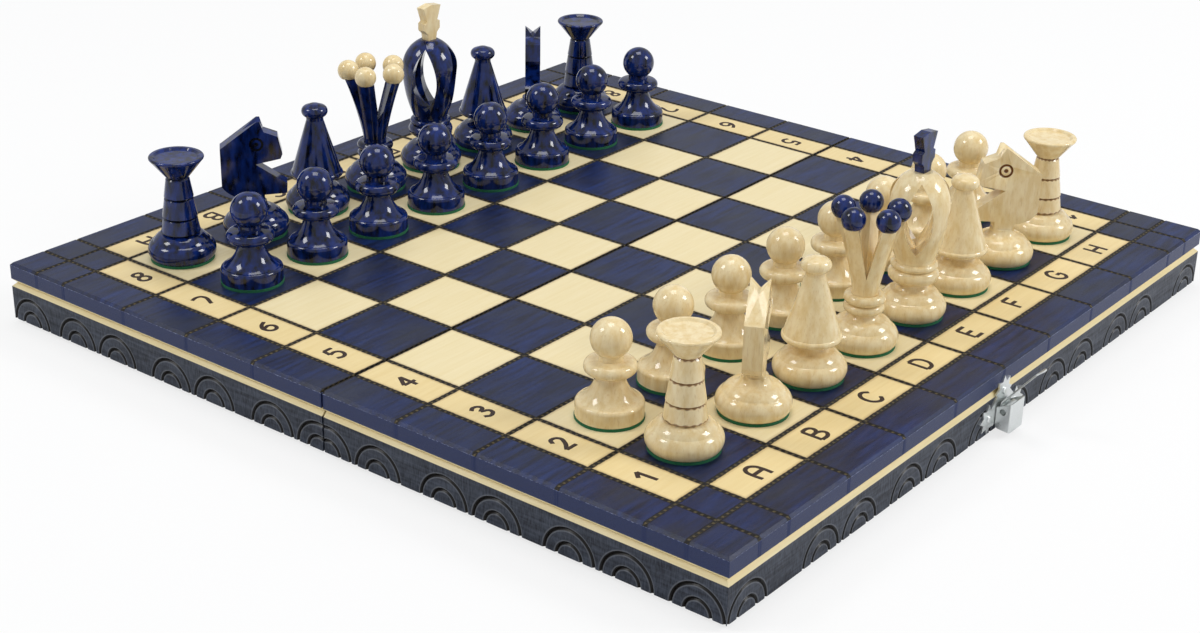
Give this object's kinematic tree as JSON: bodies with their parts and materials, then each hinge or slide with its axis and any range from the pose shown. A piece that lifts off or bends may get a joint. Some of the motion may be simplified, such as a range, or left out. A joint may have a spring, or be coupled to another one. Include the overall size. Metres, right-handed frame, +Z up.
{
  "type": "folding chess box with men",
  "caption": "Hinged wooden box that opens flat as a chess board, with carved rails, a toggle latch and a full set of turned felt-based men standing on it.",
  "frame": {"origin": "middle of the fold line, at the level of the rims the open box lies on", "axes": "+Z up, +X along the files from a to h, +Y along the ranks from the natural men's side to the blue men's side"},
  "size_m": [0.31, 0.3272, 0.0886],
  "materials": {
    "board_face": "deep blue stain and pale natural squares with burned lines, under gloss lacquer",
    "stained_rail": "dark blue stain, carved and lacquered",
    "natural_man": "turned pale wood, gloss lacquer, green felt under the foot",
    "blue_man": "turned wood, deep blue stain, gloss lacquer, green felt under the foot",
    "nickel": "bright nickel plate on pressed steel"
  },
  "bodies": {
    "white_half": {"white_playing_board": "board_face", "white_outer_rail": "stained_rail", "white_side_rail_a": "stained_rail", "white_side_rail_h": "stained_rail", "white_spine_rail": "stained_rail", "hinge_leaves_white": "nickel", "hinge_pins": "nickel", "hinge_screws_white": "nickel", "latch_plate": "nickel", "latch_lever_pin": "nickel", "latch_nails": "nickel"},
    "blue_half": {"blue_playing_board": "board_face", "blue_outer_rail": "stained_rail", "blue_side_rail_a": "stained_rail", "blue_side_rail_h": "stained_rail", "blue_spine_rail": "stained_rail", "hinge_leaves_blue": "nickel", "hinge_screws_blue": "nickel", "strike_plate": "nickel", "strike_nails": "nickel"},
    "latch_lever": {"latch_lever": "nickel", "latch_claw_pin": "nickel"},
    "latch_claw": {"latch_claw": "nickel"},
    "white_pawn_a": {"white_pawn_a": "natural_man"},
    "white_rook_a": {"white_rook_a": "natural_man"},
    "white_pawn_b": {"white_pawn_b": "natural_man"},
    "white_knight_b": {"white_knight_b": "natural_man"},
    "white_pawn_c": {"white_pawn_c": "natural_man"},
    "white_bishop_c": {"white_bishop_c": "natural_man"},
    "white_pawn_d": {"white_pawn_d": "natural_man"},
    "white_queen": {"white_queen": "natural_man", "white_queen_balls": "blue_man"},
    "white_pawn_e": {"white_pawn_e": "natural_man"},
    "white_king": {"white_king": "natural_man", "white_king_cross": "blue_man"},
    "white_pawn_f": {"white_pawn_f": "natural_man"},
    "white_bishop_f": {"white_bishop_f": "natural_man"},
    "white_pawn_g": {"white_pawn_g": "natural_man"},
    "white_knight_g": {"white_knight_g": "natural_man"},
    "white_pawn_h": {"white_pawn_h": "natural_man"},
    "white_rook_h": {"white_rook_h": "natural_man"},
    "blue_pawn_a": {"blue_pawn_a": "blue_man"},
    "blue_rook_a": {"blue_rook_a": "blue_man"},
    "blue_pawn_b": {"blue_pawn_b": "blue_man"},
    "blue_knight_b": {"blue_knight_b": "blue_man"},
    "blue_pawn_c": {"blue_pawn_c": "blue_man"},
    "blue_bishop_c": {"blue_bishop_c": "blue_man"},
    "blue_pawn_d": {"blue_pawn_d": "blue_man"},
    "blue_queen": {"blue_queen": "blue_man", "blue_queen_balls": "natural_man"},
    "blue_pawn_e": {"blue_pawn_e": "blue_man"},
    "blue_king": {"blue_king": "blue_man", "blue_king_cross": "natural_man"},
    "blue_pawn_f": {"blue_pawn_f": "blue_man"},
    "blue_bishop_f": {"blue_bishop_f": "blue_man"},
    "blue_pawn_g": {"blue_pawn_g": "blue_man"},
    "blue_knight_g": {"blue_knight_g": "blue_man"},
    "blue_pawn_h": {"blue_pawn_h": "blue_man"},
    "blue_rook_h": {"blue_rook_h": "blue_man"}
  },
  "joints": [
    {"name": "board_fold", "type": "hinge", "parent": "white_half", "child": "blue_half", "pos_m": [0, 0, -0.0001], "axis": [-1, 0, 0], "range_deg": [0, 180]},
    {"name": "clasp_lever", "type": "hinge", "parent": "white_half", "child": "latch_lever", "pos_m": [0, -0.1573, 0.0026], "axis": [1, 0, 0], "range_deg": [0, 80]},
    {"name": "clasp_claw", "type": "hinge", "parent": "latch_lever", "child": "latch_claw", "pos_m": [0, -0.1583, 0.0077], "axis": [1, 0, 0], "range_deg": [-18, 30]},
    {"name": "lift_white_pawn_a", "type": "slide", "parent": "white_half", "child": "white_pawn_a", "axis": [0, 0, 1], "range_m": [0, 0.08]},
    {"name": "lift_white_rook_a", "type": "slide", "parent": "white_half", "child": "white_rook_a", "axis": [0, 0, 1], "range_m": [0, 0.08]},
    {"name": "lift_white_pawn_b", "type": "slide", "parent": "white_half", "child": "white_pawn_b", "axis": [0, 0, 1], "range_m": [0, 0.08]},
    {"name": "lift_white_knight_b", "type": "slide", "parent": "white_half", "child": "white_knight_b", "axis": [0, 0, 1], "range_m": [0, 0.08]},
    {"name": "lift_white_pawn_c", "type": "slide", "parent": "white_half", "child": "white_pawn_c", "axis": [0, 0, 1], "range_m": [0, 0.08]},
    {"name": "lift_white_bishop_c", "type": "slide", "parent": "white_half", "child": "white_bishop_c", "axis": [0, 0, 1], "range_m": [0, 0.08]},
    {"name": "lift_white_pawn_d", "type": "slide", "parent": "white_half", "child": "white_pawn_d", "axis": [0, 0, 1], "range_m": [0, 0.08]},
    {"name": "lift_white_queen", "type": "slide", "parent": "white_half", "child": "white_queen", "axis": [0, 0, 1], "range_m": [0, 0.08]},
    {"name": "lift_white_pawn_e", "type": "slide", "parent": "white_half", "child": "white_pawn_e", "axis": [0, 0, 1], "range_m": [0, 0.08]},
    {"name": "lift_white_king", "type": "slide", "parent": "white_half", "child": "white_king", "axis": [0, 0, 1], "range_m": [0, 0.08]},
    {"name": "lift_white_pawn_f", "type": "slide", "parent": "white_half", "child": "white_pawn_f", "axis": [0, 0, 1], "range_m": [0, 0.08]},
    {"name": "lift_white_bishop_f", "type": "slide", "parent": "white_half", "child": "white_bishop_f", "axis": [0, 0, 1], "range_m": [0, 0.08]},
    {"name": "lift_white_pawn_g", "type": "slide", "parent": "white_half", "child": "white_pawn_g", "axis": [0, 0, 1], "range_m": [0, 0.08]},
    {"name": "lift_white_knight_g", "type": "slide", "parent": "white_half", "child": "white_knight_g", "axis": [0, 0, 1], "range_m": [0, 0.08]},
    {"name": "lift_white_pawn_h", "type": "slide", "parent": "white_half", "child": "white_pawn_h", "axis": [0, 0, 1], "range_m": [0, 0.08]},
    {"name": "lift_white_rook_h", "type": "slide", "parent": "white_half", "child": "white_rook_h", "axis": [0, 0, 1], "range_m": [0, 0.08]},
    {"name": "lift_blue_pawn_a", "type": "slide", "parent": "blue_half", "child": "blue_pawn_a", "axis": [0, 0, 1], "range_m": [0, 0.08]},
    {"name": "lift_blue_rook_a", "type": "slide", "parent": "blue_half", "child": "blue_rook_a", "axis": [0, 0, 1], "range_m": [0, 0.08]},
    {"name": "lift_blue_pawn_b", "type": "slide", "parent": "blue_half", "child": "blue_pawn_b", "axis": [0, 0, 1], "range_m": [0, 0.08]},
    {"name": "lift_blue_knight_b", "type": "slide", "parent": "blue_half", "child": "blue_knight_b", "axis": [0, 0, 1], "range_m": [0, 0.08]},
    {"name": "lift_blue_pawn_c", "type": "slide", "parent": "blue_half", "child": "blue_pawn_c", "axis": [0, 0, 1], "range_m": [0, 0.08]},
    {"name": "lift_blue_bishop_c", "type": "slide", "parent": "blue_half", "child": "blue_bishop_c", "axis": [0, 0, 1], "range_m": [0, 0.08]},
    {"name": "lift_blue_pawn_d", "type": "slide", "parent": "blue_half", "child": "blue_pawn_d", "axis": [0, 0, 1], "range_m": [0, 0.08]},
    {"name": "lift_blue_queen", "type": "slide", "parent": "blue_half", "child": "blue_queen", "axis": [0, 0, 1], "range_m": [0, 0.08]},
    {"name": "lift_blue_pawn_e", "type": "slide", "parent": "blue_half", "child": "blue_pawn_e", "axis": [0, 0, 1], "range_m": [0, 0.08]},
    {"name": "lift_blue_king", "type": "slide", "parent": "blue_half", "child": "blue_king", "axis": [0, 0, 1], "range_m": [0, 0.08]},
    {"name": "lift_blue_pawn_f", "type": "slide", "parent": "blue_half", "child": "blue_pawn_f", "axis": [0, 0, 1], "range_m": [0, 0.08]},
    {"name": "lift_blue_bishop_f", "type": "slide", "parent": "blue_half", "child": "blue_bishop_f", "axis": [0, 0, 1], "range_m": [0, 0.08]},
    {"name": "lift_blue_pawn_g", "type": "slide", "parent": "blue_half", "child": "blue_pawn_g", "axis": [0, 0, 1], "range_m": [0, 0.08]},
    {"name": "lift_blue_knight_g", "type": "slide", "parent": "blue_half", "child": "blue_knight_g", "axis": [0, 0, 1], "range_m": [0, 0.08]},
    {"name": "lift_blue_pawn_h", "type": "slide", "parent": "blue_half", "child": "blue_pawn_h", "axis": [0, 0, 1], "range_m": [0, 0.08]},
    {"name": "lift_blue_rook_h", "type": "slide", "parent": "blue_half", "child": "blue_rook_h", "axis": [0, 0, 1], "range_m": [0, 0.08]}
  ]
}
